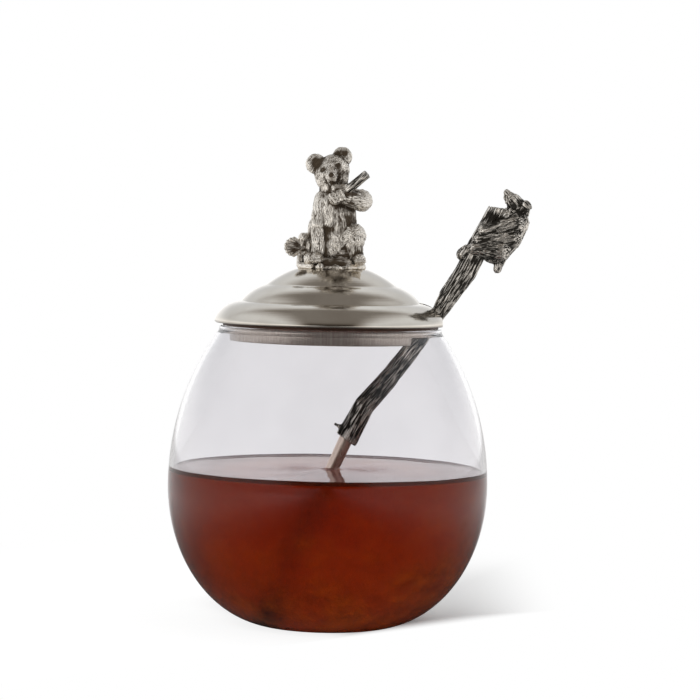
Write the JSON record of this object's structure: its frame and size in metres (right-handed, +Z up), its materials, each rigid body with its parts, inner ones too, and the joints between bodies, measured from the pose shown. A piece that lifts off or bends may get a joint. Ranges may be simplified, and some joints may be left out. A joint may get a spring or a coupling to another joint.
{
  "type": "honey pot",
  "caption": "Round glass honey pot with a stepped pewter lift-off lid, a sitting bear finial, and a branch-handled spoon standing in a notch of the lid.",
  "frame": {"origin": "centre of the flat base of the glass jar, on the jar's axis", "axes": "+Z up along the jar's axis, +X towards the notch in the lid where the spoon stands, -Y the side the bear faces"},
  "size_m": [0.1285, 0.114, 0.1709],
  "materials": {
    "clear_glass": "polished",
    "honey": "gloss",
    "polished_pewter": "satin",
    "antique_pewter": "satin",
    "spoon_steel": "polished",
    "screw_steel": "satin"
  },
  "bodies": {
    "jar": {"glass_jar": "clear_glass", "honey": "honey"},
    "lid": {"lid_dome": "polished_pewter", "lid_collar": "polished_pewter", "finial_base": "antique_pewter", "bear": "antique_pewter", "bear_stick": "antique_pewter", "finial_screw": "screw_steel", "finial_washer": "screw_steel"},
    "spoon": {"spoon_shank": "spoon_steel", "branch_handle": "antique_pewter", "climbing_cub": "antique_pewter"}
  },
  "joints": [
    {"name": "lid_lift", "type": "slide", "parent": "jar", "child": "lid", "axis": [0, 0, 1], "range_m": [0, 0.06]},
    {"name": "spoon_lift", "type": "slide", "parent": "jar", "child": "spoon", "axis": [0.5736, 0, 0.8192], "range_m": [0, 0.036], "deforming": ["honey"]}
  ]
}
